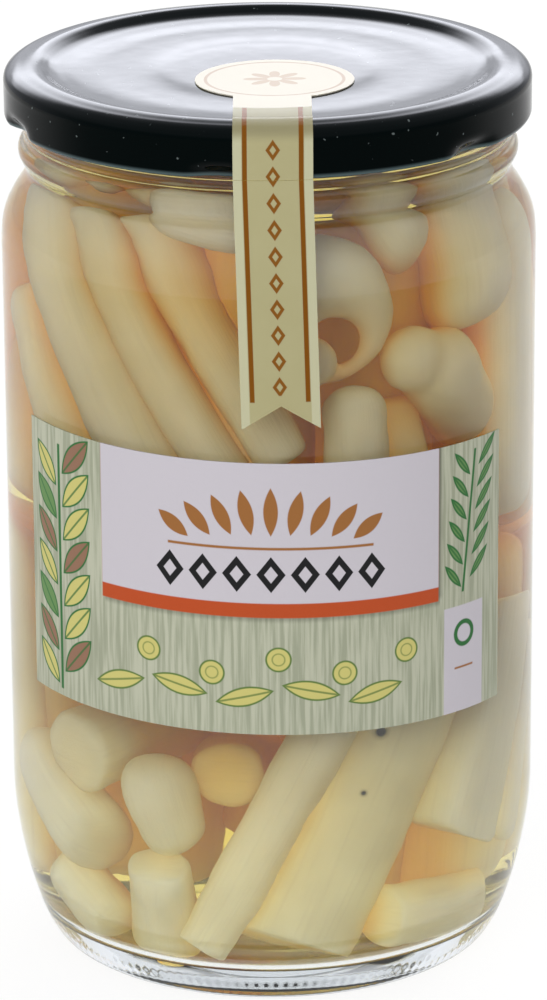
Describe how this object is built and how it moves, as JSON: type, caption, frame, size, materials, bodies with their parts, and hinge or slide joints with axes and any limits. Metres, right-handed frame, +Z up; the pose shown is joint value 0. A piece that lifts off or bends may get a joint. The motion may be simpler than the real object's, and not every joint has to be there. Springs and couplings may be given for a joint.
{
  "type": "jar of peeled salsify root",
  "caption": "Sealed glass preserving jar with a dark twist-off lid, a wrapped paper label and a paper seal, packed with peeled, cut salsify root sticks in amber brine.",
  "frame": {"origin": "on the jar's axis, in the plane that its foot stands on", "axes": "+Z up along the jar's axis; -Y towards the middle of the label and the seal; +X to the right as the label is read"},
  "size_m": [0.0864, 0.0867, 0.1487],
  "materials": {
    "jar_glass": "gloss",
    "printed_label": "satin",
    "seal_paper": "satin",
    "amber_brine": "gloss",
    "lid_enamel": "gloss",
    "sealing_compound": "satin",
    "salsify_flesh": "satin"
  },
  "bodies": {
    "jar": {"glass_jar": "jar_glass", "label": "printed_label", "seal_tail": "seal_paper", "brine": "amber_brine", "salsify_stick_01": "salsify_flesh", "salsify_stick_02": "salsify_flesh", "salsify_stick_03": "salsify_flesh", "salsify_stick_04": "salsify_flesh", "salsify_stick_05": "salsify_flesh", "salsify_stick_06": "salsify_flesh", "salsify_stick_07": "salsify_flesh", "salsify_stick_08": "salsify_flesh", "salsify_stick_09": "salsify_flesh", "salsify_stick_10": "salsify_flesh", "salsify_stick_11": "salsify_flesh", "salsify_stick_12": "salsify_flesh", "salsify_stick_13": "salsify_flesh", "salsify_stick_14": "salsify_flesh", "salsify_stick_15": "salsify_flesh", "salsify_stick_16": "salsify_flesh", "salsify_stick_17": "salsify_flesh", "salsify_stick_18": "salsify_flesh", "salsify_stick_19": "salsify_flesh", "salsify_stick_20": "salsify_flesh", "salsify_stick_21": "salsify_flesh", "salsify_stick_22": "salsify_flesh", "salsify_stick_23": "salsify_flesh", "salsify_stick_24": "salsify_flesh", "salsify_stick_25": "salsify_flesh", "salsify_stick_26": "salsify_flesh", "salsify_stick_27": "salsify_flesh", "salsify_stick_28": "salsify_flesh", "salsify_stick_29": "salsify_flesh", "salsify_stick_30": "salsify_flesh", "salsify_stick_31": "salsify_flesh", "salsify_stick_32": "salsify_flesh", "salsify_stick_33": "salsify_flesh", "salsify_stick_34": "salsify_flesh", "salsify_stick_35": "salsify_flesh", "salsify_stick_36": "salsify_flesh", "salsify_stick_37": "salsify_flesh", "salsify_stick_38": "salsify_flesh", "salsify_stick_39": "salsify_flesh", "salsify_stick_40": "salsify_flesh", "salsify_stick_41": "salsify_flesh", "salsify_stick_42": "salsify_flesh", "salsify_stick_43": "salsify_flesh", "salsify_stick_44": "salsify_flesh", "salsify_stick_45": "salsify_flesh", "salsify_stick_46": "salsify_flesh", "salsify_stick_47": "salsify_flesh", "salsify_stick_48": "salsify_flesh", "salsify_stick_49": "salsify_flesh", "salsify_stick_50": "salsify_flesh", "salsify_stick_51": "salsify_flesh", "salsify_hook": "salsify_flesh"},
    "lid": {"lid_cap": "lid_enamel", "lid_liner": "sealing_compound", "seal_cap": "seal_paper"}
  },
  "joints": [
    {"name": "lid_twist", "type": "hinge", "parent": "jar", "child": "lid", "pos_m": [0, 0, 0.1465], "axis": [0, 0, 1], "range_deg": [0, 50]}
  ]
}
